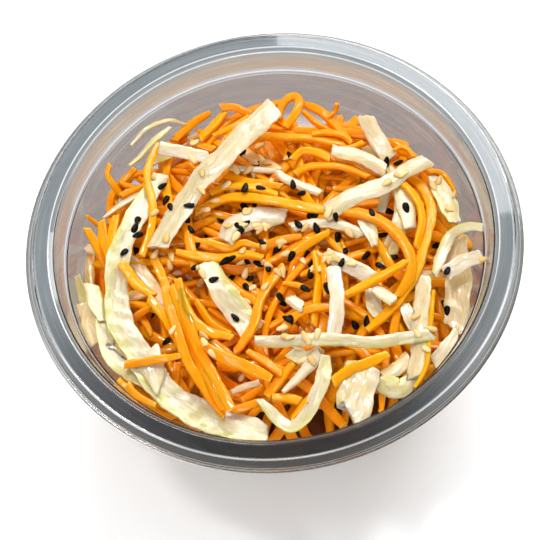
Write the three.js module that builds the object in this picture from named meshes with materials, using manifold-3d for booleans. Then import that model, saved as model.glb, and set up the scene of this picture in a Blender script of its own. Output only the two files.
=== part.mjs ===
// A round clear plastic bowl filled with carrot and cabbage slaw under sesame seeds.
// Millimetres, +Z up, origin at the middle of the foot, on the surface the bowl stands on.

import * as THREE from 'three';
import { mergeVertices } from 'three/addons/utils/BufferGeometryUtils.js';
import Module from 'manifold-3d';

// ---- Driving dimensions ----

const RIM_DIAMETER = 142;
const BOWL_HEIGHT = 58;
const WALL = 0.6; // thickness of the formed sheet
const RIM_LIP = 1; // thin lip that stands out round the foot of the skirt
const SKIRT_DROP = 2.9; // how far the rolled edge turns down
const BAND_WIDTH = 3.8; // flat band on top of the rim
const SKIRT_LEAN = 0.72; // how far the rolled edge leans out for each mm that it turns down
const STEP_DROP = 7.6; // from the rim's top down to the ledge a lid rests on
const STEP_WIDTH = 3.5; // from the ledge out to the flat band
const STEP_BEND = 3; // height above the ledge where the step starts to lean out more
const EDGE_ROUND = 1.6; // the step's round edge under the band
const LEDGE = 0.7;
const DRAFT_DEGREES = 13.5; // lean of the main wall
const FOOT_DIAMETER = 83;
const FOOT_WIDTH = 4; // flat ring the bowl stands on
const PUNT = 1.8; // how far the middle of the base is raised
const PUNT_SLOPE = 2; // width of the slope round the raised middle
const CORNER = 8; // height of the round corner between foot and wall
const BOWL_SIDES = 56;

const CLEARANCE = 0.4; // between the food and the bowl
const HEAP_LEVEL = 50; // level that the layout's places are given on
const HEAP_LIMIT = 52; // nothing in the heap stands higher
const LEAN = 0.56; // a piece that lies 1 mm lower lies this much further back
const CORE_MIDDLE = 46.5;
const CORE_EDGE_DROP = 3;
const CORE_BACK_DROP = 6;
const CORE_INSET = 1.6; // the core stays this far inside the bowl, for the shreds round it
const CORE_SHOULDER = 30; // up to here the core's side follows the wall all round
const CORE_FOOT = 5; // height of the core's own corner above its bottom
const CORE_FOOT_INSET = 4;
const CORE_SIDES = 32;
const CORE_RINGS = 5;
const CORE_BUMP = 0.9;

const CARROT_THICKNESS = 2;
const CABBAGE_THICKNESS = 1.4;
const SINK = 0.5; // how deep a piece settles into what it lies on
const SAG = 0.011; // droop of a shred past its support, per mm
const SHRED_STEP = 8; // length of one straight stretch of a bent shred
const TAPER = 0.75; // width of a shred's ends against its middle
const GOLDEN_TURN = 2.4; // turn from each scattered piece to the next, which spreads them evenly
const FILL_SHREDS = 20;
const FILL = { reach: 50, half: [9, 14], bow: 6, carrot: 2.8, cabbage: 4.5 };
const WALL_SHREDS = 30;
const WALL_FILL = { low: 8, underEdge: 3, half: [9, 13], rise: 16, carrot: 2.6, cabbage: 5 };
const EDGE_REACH = 56; // radius at which the heap meets the wall
const SEEDS = 40;
const SEED_SIZE = new THREE.Vector3(1.7, 1.05, 0.8); // half sizes
const SEED_REACH = new THREE.Vector2(38, 30); // half sizes of the sprinkled area
const SEED_MIDDLE = new THREE.Vector2(-2, 1);
const SEED_SINK = 0.1;

// Larger shreds, from the bottom of the heap up: kind, width, then places in plan at HEAP_LEVEL,
// each with an optional lift above what the shred lies on.
const LAYOUT = [
	['cabbage', 8, [48, -18], [47, -28], [45, -35]],
	['cabbage', 5.4, [40, -18], [38, -26], [38, -34]],
	['cabbage', 5.4, [49, 15], [51, 7], [52, -2]],
	['cabbage', 5, [39, 13], [40, 6], [39, -2]],
	['cabbage', 9, [19, -43], [16, -51], [14, -56]],
	['cabbage', 4.2, [-60, 0, 4], [-57, -6, 2], [-52, -12]],
	['cabbage', 4.4, [-59, -9, 4], [-57, -17, 2]],
	['cabbage', 4, [-53, -18], [-52, -26], [-48, -32], [-41, -36]],
	['cabbage', 4.2, [-52, 0], [-51, -7], [-51, -14]],
	['carrot', 2.8, [-48, 17], [-48, 11], [-47, 4]],
	['carrot', 2.2, [-47, 38, 8], [-45, 30, 5], [-42, 25], [-34, 28]],
	['carrot', 2.6, [-25, 40], [-20, 45], [-12, 49]],
	['carrot', 2.8, [-18, 39], [-12, 44], [-7, 48]],
	['cabbage', 2.2, [-38, 43], [-31, 47], [-20, 46]],
	['cabbage', 2.6, [-38, 37], [-32, 41], [-25, 46]],
	['carrot', 2.8, [15, 47], [20, 43], [24, 37], [27, 31]],
	['carrot', 2.6, [-3, 35], [2, 38], [16, 34], [25, 30]],
	['cabbage', 5, [33, 39, 4], [35, 31, 2], [38, 22]],
	['cabbage', 4.6, [21, 29], [29, 25], [36, 19]],
	['cabbage', 6, [-14, 4], [-10, 10], [5, 9]],
	['carrot', 3.2, [-28, 3], [-16, -1], [-3, -3]],
	['carrot', 2.8, [10, 23], [20, 24], [31, 18]],
	['carrot', 3.2, [0, -37], [-8, -46]],
	['cabbage', 3.2, [10, -36], [7, -44], [-2, -56], [-10, -47]],
	['carrot', 3.2, [26, -39], [15, -42], [5, -47], [-2, -54]],
	['carrot', 2.6, [12, -3], [11, -18], [8, -28]],
	['cabbage', 7.4, [-19, -2], [-16, -12], [-12, -27]],
	['cabbage', 6.6, [-30, 30], [-44, 7], [-46, -14], [-38, -36], [-23, -51], [-10, -57]],
	['carrot', 2.6, [48, 17], [48, 7], [45, -2], [40, -11]],
	['carrot', 3, [-21, 16], [-11, 19], [1, 16], [18, 9]],
	['carrot', 3.4, [20, 9], [32, 1], [38, -13], [33, -22], [20, -32]],
	['carrot', 2.8, [-32, -4], [-30, -22], [-24, -42], [-20, -49]],
	['carrot', 3, [-28, -6], [-26, -22], [-22, -39], [-18, -48]],
	['carrot', 2.8, [2, -6], [-7, -18], [-15, -31]],
	['cabbage', 4.8, [15, -5], [21, -10], [26, -15]],
	['carrot', 3, [18, -19], [24, -17], [37, -11]],
	['cabbage', 4.3, [15, -10], [16, -20], [12, -31]],
	['carrot', 3.5, [-24, -27], [-13, -36], [-6, -41]],
	['cabbage', 3.5, [-9, -28], [6, -31], [23, -35], [39, -35]],
	['cabbage', 3.4, [60, -4, 5], [51, -5, 2], [47, -10], [44, -17]],
	['cabbage', 4.8, [59, -13, 5], [53, -15, 2], [46, -18]],
	['cabbage', 4.8, [17, 9], [25, 13], [34, 15], [49, 20]],
	['carrot', 2.3, [-29, 41], [-33, 31], [-33, 20], [-38, 4]],
	['cabbage', 4.8, [7, 47], [-10, 33], [-20, 24], [-33, 6]],
	['carrot', 2.4, [-46, -29], [-31, -29]]
];

const wasm = await Module();
wasm.setup();

// ---- Small helpers ----

// A repeatable stream of numbers from 0 to 1.
function seededRandom(seed) {
	let state = seed;
	return () => {
		state = (state * 1664525 + 1013904223) % 4294967296;
		return state / 4294967296;
	};
}

function toSolid(geometry) {
	const bare = geometry.index ? geometry.toNonIndexed() : geometry.clone();
	bare.deleteAttribute('normal');
	bare.deleteAttribute('uv');
	const merged = mergeVertices(bare, 1e-4);
	const vertProperties = new Float32Array(merged.attributes.position.array);
	const triVerts = new Uint32Array(merged.index.array);
	const flat = (i) => triVerts[i] === triVerts[i + 1]
		|| triVerts[i + 1] === triVerts[i + 2] || triVerts[i] === triVerts[i + 2];
	const kept = [];
	for (let i = 0; i < triVerts.length; i += 3) {
		if (!flat(i)) kept.push(triVerts[i], triVerts[i + 1], triVerts[i + 2]);
	}
	return new wasm.Manifold(new wasm.Mesh({ numProp: 3, vertProperties, triVerts: new Uint32Array(kept) }));
}

function toGeometry(solid) {
	const mesh = solid.getMesh();
	const geometry = new THREE.BufferGeometry();
	geometry.setAttribute('position', new THREE.BufferAttribute(new Float32Array(mesh.vertProperties), 3));
	geometry.setIndex(new THREE.BufferAttribute(new Uint32Array(mesh.triVerts), 1));
	return geometry;
}

// ---- The bowl ----

// The upper face of the formed sheet, from the axis out to the lip, as radius and height.
function sheetLine() {
	const footOut = FOOT_DIAMETER / 2;
	const footIn = footOut - FOOT_WIDTH;
	const rim = RIM_DIAMETER / 2;
	const bandOut = rim - RIM_LIP - SKIRT_DROP * SKIRT_LEAN;
	const bandIn = bandOut - BAND_WIDTH;
	const stepTop = bandIn - EDGE_ROUND;
	const ledgeOut = bandIn - STEP_WIDTH;
	const ledgeIn = ledgeOut - LEDGE;
	const ledgeHeight = BOWL_HEIGHT - STEP_DROP;
	const wallTop = ledgeHeight - LEDGE;
	const wallFoot = ledgeIn - (wallTop - CORNER) * Math.tan(THREE.MathUtils.degToRad(DRAFT_DEGREES));
	const line = new THREE.Path();
	line.moveTo(0, PUNT + WALL);
	line.lineTo(footIn - PUNT_SLOPE, PUNT + WALL);
	line.lineTo(footIn, WALL);
	line.lineTo(footOut, WALL);
	line.quadraticCurveTo(wallFoot - EDGE_ROUND, WALL, wallFoot, CORNER);
	line.lineTo(ledgeIn, wallTop);
	line.lineTo(ledgeOut, ledgeHeight);
	line.lineTo(ledgeOut + LEDGE, ledgeHeight + STEP_BEND);
	line.lineTo(stepTop, BOWL_HEIGHT - EDGE_ROUND);
	line.quadraticCurveTo(stepTop + 0.4, BOWL_HEIGHT, bandIn, BOWL_HEIGHT);
	line.lineTo(bandOut, BOWL_HEIGHT);
	line.quadraticCurveTo(bandOut + 1, BOWL_HEIGHT, rim - RIM_LIP, BOWL_HEIGHT - SKIRT_DROP);
	line.lineTo(rim, BOWL_HEIGHT - SKIRT_DROP);
	return line.getPoints(3);
}

// The same line moved below itself by the sheet's thickness, with mitred corners.
function underside(points) {
	return points.map((point, i) => {
		const before = points[Math.max(i - 1, 0)];
		const after = points[Math.min(i + 1, points.length - 1)];
		const into = i > 0 ? point.clone().sub(before).normalize() : after.clone().sub(point).normalize();
		const out = i < points.length - 1 ? after.clone().sub(point).normalize() : into;
		const along = into.clone().add(out).normalize();
		const reach = Math.min(WALL / Math.max(along.dot(into), 0.5), WALL * 1.6);
		return new THREE.Vector2(point.x + along.y * reach, point.y - along.x * reach);
	});
}

const inside = sheetLine();

function makeBowl() {
	const outside = underside(inside);
	outside[0].set(0, PUNT);
	outside[outside.length - 1].setX(RIM_DIAMETER / 2);
	const profile = [...outside, ...inside.slice().reverse()];
	const geometry = new THREE.LatheGeometry(profile, BOWL_SIDES);
	geometry.rotateX(Math.PI / 2);
	return toGeometry(toSolid(geometry));
}

// Inner radius of the bowl at a height above the foot ring, up to the ledge.
function bowlRadius(height) {
	let i = inside.length - 1;
	while (i > 4 && inside[i - 1].y > height) i -= 1;
	const low = inside[i - 1];
	const high = inside[i];
	const share = THREE.MathUtils.clamp((height - low.y) / Math.max(high.y - low.y, 0.01), 0, 1);
	return Math.min(low.x + (high.x - low.x) * share, bowlRim);
}

const bowlRim = inside.find((point) => point.y > BOWL_HEIGHT - STEP_DROP - LEDGE - 0.01).x;

// ---- The heap's core ----

function coreTop(x, y) {
	const out = Math.min(Math.hypot(x, y) / bowlRim, 1);
	const back = THREE.MathUtils.smoothstep(y, 15, 52);
	const bumps = Math.sin(x * 0.31 + 1.2) * Math.cos(y * 0.27 - 0.6);
	return CORE_MIDDLE - CORE_EDGE_DROP * out ** 2 - CORE_BACK_DROP * back + CORE_BUMP * bumps;
}

// Height at which the core's top meets its side, in the direction of an angle.
function edgeHeight(angle) {
	return coreTop(EDGE_REACH * Math.cos(angle), EDGE_REACH * Math.sin(angle));
}

function makeCore() {
	const floor = PUNT + WALL + CLEARANCE;
	const low = floor + CORE_FOOT;
	const profile = [
		new THREE.Vector2(0, floor),
		new THREE.Vector2(bowlRadius(floor + 1) - CORE_FOOT_INSET - CORE_INSET, floor),
		new THREE.Vector2(bowlRadius(low) - CORE_INSET, low),
		new THREE.Vector2(bowlRadius(CORE_SHOULDER) - CORE_INSET, CORE_SHOULDER)
	];
	for (let ring = CORE_RINGS; ring >= 0; ring -= 1) {
		profile.push(new THREE.Vector2(ring / CORE_RINGS, HEAP_LEVEL));
	}
	const geometry = new THREE.LatheGeometry(profile, CORE_SIDES);
	geometry.rotateX(Math.PI / 2);
	const place = geometry.attributes.position;
	for (let i = 0; i < place.count; i += 1) {
		if (place.getZ(i) < HEAP_LEVEL - 1) continue;
		const edge = edgeHeight(Math.atan2(place.getY(i), place.getX(i)));
		const reach = bowlRadius(edge) - CORE_INSET;
		const x = place.getX(i) * reach;
		const y = place.getY(i) * reach;
		place.setXYZ(i, x, y, coreTop(x, y));
	}
	return toSolid(geometry);
}

// ---- What lies where: a map of the heap's height, one value for each square millimetre ----

const MAP_HALF = 64;
const mapSide = 2 * MAP_HALF + 1;
const heights = new Float32Array(mapSide * mapSide);
for (let row = 0; row < mapSide; row += 1) {
	for (let column = 0; column < mapSide; column += 1) {
		heights[row * mapSide + column] = coreTop(column - MAP_HALF, row - MAP_HALF);
	}
}

// Calls visit with each map cell within reach of a place.
function nearCells(x, y, reach, visit) {
	for (let row = Math.ceil(y - reach); row <= y + reach; row += 1) {
		for (let column = Math.ceil(x - reach); column <= x + reach; column += 1) {
			const inMap = Math.abs(row) <= MAP_HALF && Math.abs(column) <= MAP_HALF;
			if (inMap && Math.hypot(column - x, row - y) <= reach) {
				visit((row + MAP_HALF) * mapSide + column + MAP_HALF);
			}
		}
	}
}

function supportAt(x, y, reach) {
	let top = coreTop(x, y);
	nearCells(x, y, reach, (cell) => {
		top = Math.max(top, heights[cell]);
	});
	return top;
}

// Moves a place inwards until a piece of this half width clears the bowl.
function insideBowl(point, half) {
	const limit = bowlRadius(point.z - half) - CLEARANCE - half;
	const out = Math.hypot(point.x, point.y);
	if (out > limit) {
		point.x *= limit / out;
		point.y *= limit / out;
	}
	return point;
}

// Lays a shred over what is already there: each stretch rests on the highest thing under
// it or hangs from a stretch that does, drooping with the square of the distance.
function layDown(plan, width, thickness) {
	const flat = plan.map(([x, y, lift = 0]) => new THREE.Vector3(x, y, lift));
	const curve = new THREE.CatmullRomCurve3(flat, false, 'centripetal');
	const steps = Math.max(3, Math.round(curve.getLength() / SHRED_STEP));
	const pitch = curve.getLength() / steps;
	const planned = curve.getSpacedPoints(steps);
	const points = planned.map((place) => place.clone().setZ(HEAP_LEVEL - 4));
	for (let pass = 0; pass < 3; pass += 1) {
		const rests = points.map((point, i) => {
			point.x = planned[i].x;
			point.y = planned[i].y + LEAN * (HEAP_LEVEL - point.z);
			insideBowl(point, width / 2);
			return supportAt(point.x, point.y, Math.max(width / 2, 1.2)) + thickness / 2 - SINK;
		});
		const hung = points.map((point, i) => Math.max(
			...rests.map((rest, j) => rest - SAG * ((i - j) * pitch) ** 2)
		));
		points.forEach((point, i) => {
			const beside = (hung[Math.max(i - 1, 0)] + hung[Math.min(i + 1, steps)]) / 2;
			const eased = Math.max(hung[i], (hung[i] + beside) / 2) + planned[i].z;
			point.z = Math.min(eased, HEAP_LIMIT - thickness / 2);
		});
	}
	return points;
}

function raiseMap(points, width, thickness) {
	const line = new THREE.CatmullRomCurve3(points);
	const marks = Math.ceil(line.getLength());
	line.getPoints(marks).forEach((point) => {
		nearCells(point.x, point.y, Math.max(width / 2, 1), (cell) => {
			heights[cell] = Math.max(heights[cell], point.z + thickness / 2);
		});
	});
}

// ---- Shreds and seeds ----

// A box bent along a line. Its broad face looks along facing, which is a function of place.
function bentStrip(points, width, thickness, facing) {
	const steps = points.length - 1;
	const geometry = new THREE.BoxGeometry(1, 1, 1, steps, 1, 1);
	const place = geometry.attributes.position;
	const corner = new THREE.Vector3();
	for (let i = 0; i < place.count; i += 1) {
		const step = Math.round((place.getX(i) + 0.5) * steps);
		const before = points[Math.max(step - 1, 0)];
		const after = points[Math.min(step + 1, steps)];
		const along = after.clone().sub(before).normalize();
		const across = facing(points[step]).cross(along).normalize();
		const up = along.clone().cross(across);
		const taper = step === 0 || step === steps ? TAPER : 1;
		corner.copy(points[step]);
		corner.addScaledVector(across, place.getY(i) * width * taper);
		corner.addScaledVector(up, place.getZ(i) * thickness);
		place.setXYZ(i, corner.x, corner.y, corner.z);
	}
	return toSolid(geometry);
}

const upwards = () => new THREE.Vector3(0, 0, 1);
const outwards = (point) => new THREE.Vector3(point.x, point.y, 0).normalize();
const thicknessOf = { carrot: CARROT_THICKNESS, cabbage: CABBAGE_THICKNESS };

function laidShred(kind, width, plan) {
	const thickness = thicknessOf[kind];
	const points = layDown(plan, width, thickness);
	raiseMap(points, width, thickness);
	return bentStrip(points, width, thickness, upwards);
}

// Shreds under the larger ones, turned and curved at random over the whole heap.
function* fillShreds() {
	const random = seededRandom(11);
	for (let i = 0; i < FILL_SHREDS; i += 1) {
		const angle = i * GOLDEN_TURN;
		const out = FILL.reach * Math.sqrt((i + 0.5) / FILL_SHREDS);
		const middle = [out * Math.cos(angle), out * Math.sin(angle)];
		const turn = random() * Math.PI;
		const half = THREE.MathUtils.lerp(...FILL.half, random());
		const bow = FILL.bow * (random() - 0.5);
		const end = (side) => [
			middle[0] + side * half * Math.cos(turn),
			middle[1] + side * half * Math.sin(turn)
		];
		const bulge = [middle[0] - bow * Math.sin(turn), middle[1] + bow * Math.cos(turn)];
		const kind = random() < 0.5 ? 'carrot' : 'cabbage';
		yield laidShred(kind, FILL[kind], [end(-1), bulge, end(1)]);
	}
}

// Shreds that lie flat against the wall all round, half sunk in the core.
function* wallShreds() {
	const random = seededRandom(29);
	for (let i = 0; i < WALL_SHREDS; i += 1) {
		const angle = i * GOLDEN_TURN;
		const kind = i % 2 ? 'carrot' : 'cabbage';
		const width = WALL_FILL[kind];
		const highest = edgeHeight(angle) - WALL_FILL.underEdge;
		const middle = THREE.MathUtils.lerp(WALL_FILL.low, highest, random());
		const rise = (random() - 0.5) * WALL_FILL.rise;
		const sweep = THREE.MathUtils.lerp(...WALL_FILL.half, random()) / bowlRadius(middle);
		const points = [-1, -0.33, 0.33, 1].map((share) => {
			const height = Math.min(Math.max(middle + rise * share, WALL_FILL.low), highest);
			const radius = bowlRadius(height - width / 2) - CLEARANCE - thicknessOf[kind] / 2 - 0.1;
			const at = angle + sweep * share;
			return new THREE.Vector3(radius * Math.cos(at), radius * Math.sin(at), height);
		});
		yield bentStrip(points, width, thicknessOf[kind], outwards);
	}
}

// Sesame seeds sprinkled over the middle, each half sunk in what carries it.
function* seeds() {
	const random = seededRandom(5);
	for (let i = 0; i < SEEDS; i += 1) {
		const angle = i * GOLDEN_TURN;
		const out = Math.sqrt((i + 0.5) / SEEDS);
		const x = SEED_MIDDLE.x + SEED_REACH.x * out * Math.cos(angle);
		const y = SEED_MIDDLE.y + SEED_REACH.y * out * Math.sin(angle);
		const geometry = new THREE.SphereGeometry(1, 6, 3);
		geometry.rotateX(Math.PI / 2);
		geometry.scale(SEED_SIZE.x, SEED_SIZE.y, SEED_SIZE.z);
		geometry.rotateZ(random() * Math.PI);
		geometry.translate(x, y, supportAt(x, y, SEED_SIZE.z) - SEED_SINK);
		yield toSolid(geometry);
	}
}

// Joins everything and keeps the one body, without loose scraps and sealed pockets.
function makeSlaw() {
	const pieces = [makeCore(), ...wallShreds(), ...fillShreds()];
	LAYOUT.forEach(([kind, width, ...plan]) => pieces.push(laidShred(kind, width, plan)));
	pieces.push(...seeds());
	const joined = wasm.Manifold.union(pieces);
	const bodies = joined.decompose().filter((body) => body.volume() > 0);
	bodies.sort((a, b) => b.volume() - a.volume());
	return toGeometry(bodies[0]);
}

// ---- The part ----

const finishes = {
	bowl: new THREE.MeshStandardMaterial({
		color: 0xa9b0b2, roughness: 0.08, metalness: 0, transparent: true, opacity: 0.45
	}),
	slaw: new THREE.MeshStandardMaterial({ color: 0xf2a53a, roughness: 0.45, metalness: 0 })
};

function named(name, geometry) {
	const mesh = new THREE.Mesh(geometry, finishes[name]);
	mesh.name = name;
	return mesh;
}

const group = new THREE.Group();
group.add(named('bowl', makeBowl()));
group.add(named('slaw', makeSlaw()));

export default group;
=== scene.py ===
import math

import bpy
import numpy as np
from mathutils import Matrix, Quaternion, Vector
from mathutils.bvhtree import BVHTree


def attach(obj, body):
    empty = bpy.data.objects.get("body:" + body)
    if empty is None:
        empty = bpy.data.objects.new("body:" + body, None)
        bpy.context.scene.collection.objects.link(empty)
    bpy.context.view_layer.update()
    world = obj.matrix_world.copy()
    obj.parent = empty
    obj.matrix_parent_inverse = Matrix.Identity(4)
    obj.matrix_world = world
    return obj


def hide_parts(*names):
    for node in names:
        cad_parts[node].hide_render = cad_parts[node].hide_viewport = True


# A clear bowl of carrot and cabbage slaw under sesame seeds.
# Shapes are worked out in millimetres; newPiece turns them into metres.

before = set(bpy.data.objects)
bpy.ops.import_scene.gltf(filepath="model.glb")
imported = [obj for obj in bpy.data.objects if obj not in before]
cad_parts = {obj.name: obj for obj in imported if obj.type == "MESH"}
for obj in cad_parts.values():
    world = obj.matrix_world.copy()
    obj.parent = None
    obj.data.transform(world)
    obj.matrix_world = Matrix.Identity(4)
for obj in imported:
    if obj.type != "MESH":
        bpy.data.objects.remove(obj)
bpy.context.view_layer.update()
mm = 0.001
goldenAngle = 2.39996  # radians; places that turn by it from one to the next never line up
fullTurn = 6.28


# Helpers for shapes

def newPiece(name, points, faces, attributes=None):
    mesh = bpy.data.meshes.new(name)
    mesh.from_pydata((points * mm).tolist(), [], faces)
    for label, values in (attributes or {}).items():
        vector = values.ndim == 2
        layer = mesh.attributes.new(label, "FLOAT_VECTOR" if vector else "FLOAT", "POINT")
        layer.data.foreach_set("vector" if vector else "value", values.astype(np.float32).ravel())
    mesh.shade_smooth()
    mesh.validate()
    piece = bpy.data.objects.new(name, mesh)
    bpy.context.scene.collection.objects.link(piece)
    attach(piece, "root")
    return piece


def tubeFaces(rings, sides):
    # quads between neighbouring rings of points, closed round the tube
    ring = np.arange(rings - 1)[:, None] * sides
    side = np.arange(sides)[None, :]
    after = (side + 1) % sides
    quads = np.stack([ring + side, ring + after, ring + sides + after, ring + sides + side], axis=-1)
    return quads.reshape(-1, 4)


def closedFaces(rings, sides):
    # a tube whose ends are fans of triangles to the two points that follow its rings
    around = np.arange(sides)
    after = (around + 1) % sides
    last = (rings - 1) * sides
    pole = rings * sides
    start = np.column_stack([after, around, np.full(sides, pole)])
    end = np.column_stack([last + around, last + after, np.full(sides, pole + 1)])
    return tubeFaces(rings, sides).tolist() + start.tolist() + end.tolist()


def smoothPath(places, pitch):
    # Catmull-Rom: each stretch is the cubic that leaves a place parallel to the chord of its neighbours
    p = np.array(places, float)
    p = np.vstack([2 * p[0] - p[1], p, 2 * p[-1] - p[-2]])
    a, b, c, d = p[:-3], p[1:-2], p[2:-1], p[3:]
    t = np.linspace(0, 1, 12, endpoint=False)[:, None, None]
    cubic = 2 * b + (c - a) * t + (2 * a - 5 * b + 4 * c - d) * t**2 + (3 * b - a - 3 * c + d) * t**3
    line = np.vstack([cubic.transpose(1, 0, 2).reshape(-1, p.shape[1]) / 2, p[-2]])
    run = np.concatenate([[0], np.cumsum(np.linalg.norm(np.diff(line[:, :2], axis=0), axis=1))])
    count = max(4, round(run[-1] / pitch) + 1)
    even = np.linspace(0, run[-1], count)
    return np.column_stack([np.interp(even, run, column) for column in line.T]), even[1]


def unit(vectors):
    # each vector divided by its length
    return vectors / np.maximum(np.linalg.norm(vectors, axis=-1, keepdims=True), 1e-9)


def easeIn(low, high, value):
    # 0 up to low, 1 from high on, and a cubic with level ends between them
    share = np.clip((value - low) / (high - low), 0, 1)
    return share * share * (3 - 2 * share)


# The bowl: one formed sheet, a line that goes round the upright axis

bowl = dict(
    rim=71.0,
    height=58.0,
    wall=0.6,
    lip=1.0,  # stands out round the foot of the skirt
    skirtDrop=2.9,
    skirtLean=0.72,  # how far the skirt leans in for each mm that it rises
    bandWidth=3.8,
    bandRound=0.7,
    shoulder=1.5,  # slopes from the band in to the step
    shoulderDrop=0.8,
    stepDrop=7.6,
    stepWidth=3.5,
    knee=(0.7, 3.0),  # bend of the step's riser, out and up from the ledge
    ledge=0.7,
    foot=41.5,
    footCurve=6.7,
    footWidth=4.0,
    punt=1.8,
    smoke=(20, 34),  # at the back the wall is clear below the first height and smoky above the second
    sides=192,
)

bandOut = bowl["rim"] - bowl["lip"] - bowl["skirtDrop"] * bowl["skirtLean"]
bandIn = bandOut - bowl["bandWidth"]
ledgeOut = bandIn - bowl["stepWidth"]
ledgeIn = ledgeOut - bowl["ledge"]
ledgeHeight = bowl["height"] - bowl["stepDrop"]
wallTop = ledgeHeight - bowl["ledge"]
wallFoot = bowl["foot"] + bowl["footCurve"] + 0.1

# the sheet's tints; the front ones are painted light: the band and skirt darkened as painted shade, the
# shoulder, riser and ledge lightened as a painted reflection of the food
sheetTints = dict(
    clear=(0.80, 0.82, 0.83),
    smoky=(0.25, 0.235, 0.23),
    ledge=(0.42, 0.44, 0.46),
    riser=(0.36, 0.30, 0.24),
    shoulder=(0.26, 0.28, 0.28),
    band=(0.19, 0.215, 0.23),
    skirt=(0.19, 0.20, 0.195),
    paintedReflection=(0.62, 0.52, 0.42),
    paintedShadeBand=(0.085, 0.09, 0.10),
    paintedShadeSkirt=(0.10, 0.10, 0.095),
)


def sheetCorners():
    # the sheet's upper face from the axis to the lip: radius, height, how much of the corner is cut,
    # then for the back and for the front its tint and how far the bend is whitened as a painted highlight,
    # if it isn't clear
    top, wall = bowl["height"], bowl["wall"]
    clearTo, smokyFrom = bowl["smoke"]
    kneeOut, kneeUp = bowl["knee"]
    floor = bowl["punt"] + wall
    footIn = bowl["foot"] - bowl["footWidth"]
    steepness = (ledgeIn - wallFoot) / (wallTop - wall)
    skirtFoot = bowl["rim"] - bowl["lip"]
    return [
        (0, floor, 0),
        (footIn - 2, floor, 0.8),
        (footIn, wall, 0.8),
        (wallFoot, wall, bowl["footCurve"]),
        (wallFoot + steepness * clearTo, clearTo + wall, 0),
        (wallFoot + steepness * smokyFrom, smokyFrom + wall, 0, ("smoky", 0), ("clear", 0)),
        (ledgeIn, wallTop, 0.2, ("smoky", 0.5), ("smoky", 0.5)),
        (ledgeOut, ledgeHeight, 0.2, ("ledge", 0.6), ("paintedReflection", 0.6)),
        (ledgeOut + kneeOut, ledgeHeight + kneeUp, 1.2, ("riser", 0), ("paintedReflection", 0)),
        (bandIn - bowl["shoulder"], top - bowl["shoulderDrop"], 0.2, ("shoulder", 0.7), ("paintedReflection", 0.3)),
        (bandIn, top, 0.25, ("band", 0.7), ("paintedShadeBand", 0.2)),
        (bandOut + bowl["bandRound"], top, 0.45, ("band", 0.9), ("paintedShadeBand", 1)),
        (skirtFoot, top - bowl["skirtDrop"], 0.25, ("skirt", 0.5), ("paintedShadeSkirt", 0.9)),
        (skirtFoot + bowl["lip"] / 2, top - bowl["skirtDrop"], 0, ("skirt", 0), ("clear", 0)),
        (bowl["rim"], top - bowl["skirtDrop"], 0, ("skirt", 0), ("clear", 0)),
    ]


def cornersBelow(corners, thickness):
    # each corner moves along the line that halves it, so that both its sides move by the thickness
    spots = np.array([corner[:2] for corner in corners])
    way = unit(np.diff(spots, axis=0))
    into = np.vstack([way[:1], way])
    out = np.vstack([way, way[-1:]])
    half = unit(into + out)
    reach = thickness / np.sum(half * into, axis=1)
    moved = spots + np.column_stack([half[:, 1], -half[:, 0]]) * reach[:, None]
    return [(x, z, *corner[2:]) for (x, z), corner in zip(moved, corners)]


def roundedLine(corners, steps=7, beside=1.12):
    # a corner is a quadratic curve that starts and ends its cut's length from the corner;
    # its tints are even but for a painted highlight that whitens them, rising and falling over the bend
    # as a sine and ending a little beside it
    rows = []
    for k, (x, z, cut, *looks) in enumerate(corners):
        here = np.array([x, z])
        share = np.linspace(0, 1, steps)[:, None]
        spots = here[None, :]
        bright = np.zeros((1, 1))
        if cut > 0:
            start = unit(np.array(corners[k - 1][:2]) - here) * cut
            end = unit(np.array(corners[k + 1][:2]) - here) * cut
            arc = here + start * (1 - share) ** 2 + end * share**2
            spots = np.vstack([here + start * beside, arc, here + end * beside])
            # painted highlight: a sine over the bend that whitens the tint towards clear
            bright = np.vstack([[[0]], np.sin(np.pi * share), [[0]]])
        tints = []
        for name, paintedGleam in looks or [("clear", 0)] * 2:
            tint = np.array(sheetTints[name])
            tints.append(tint + (1 - tint) * paintedGleam * bright)
        rows.append(np.hstack([spots, *tints]))
    return np.vstack(rows)


def shellOfSheet(line, below, sides):
    # the sheet's upper line and the one below it, turned about the axis
    below[0, 0] = 0
    below[-1, 0] = line[-1, 0]
    profile = np.vstack([below[1:], line[:0:-1]])
    turn = np.linspace(0, 2 * np.pi, sides, endpoint=False)
    rings = profile[:, None, :1] * np.stack([np.cos(turn), np.sin(turn)], axis=-1)
    heights = np.broadcast_to(profile[:, None, 1:2], rings.shape[:2] + (1,))
    points = np.concatenate([rings, heights], axis=-1).reshape(-1, 3)
    points = np.vstack([points, [0, 0, below[0, 1]], [0, 0, line[0, 1]]])
    looks = np.vstack([np.repeat(profile[:, 2:], sides, axis=0), below[:1, 2:], line[:1, 2:]])
    tints = dict(backTintAndPaintedLight=looks[:, :3], frontTintAndPaintedLight=looks[:, 3:])
    return points, closedFaces(len(profile), sides), tints


bowlLine = roundedLine(sheetCorners())
bowlBelow = roundedLine(cornersBelow(sheetCorners(), bowl["wall"]))
bowlShell = newPiece("clear_bowl", *shellOfSheet(bowlLine, bowlBelow, bowl["sides"]))
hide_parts("bowl")
print("bowl:", len(bowlShell.data.polygons), "faces")

rising = bowlLine[(bowlLine[:, 0] > bowl["foot"] - 1) & (bowlLine[:, 0] < bandIn - bowl["shoulder"])]


def wallRadius(height):
    # read off the inner line where it rises
    return np.interp(height, rising[:, 1], rising[:, 0])


# The heap: what lies where

eye = np.array([0.0, -243.85, 494.5])  # the camera, from which the layout's places are seen

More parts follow.
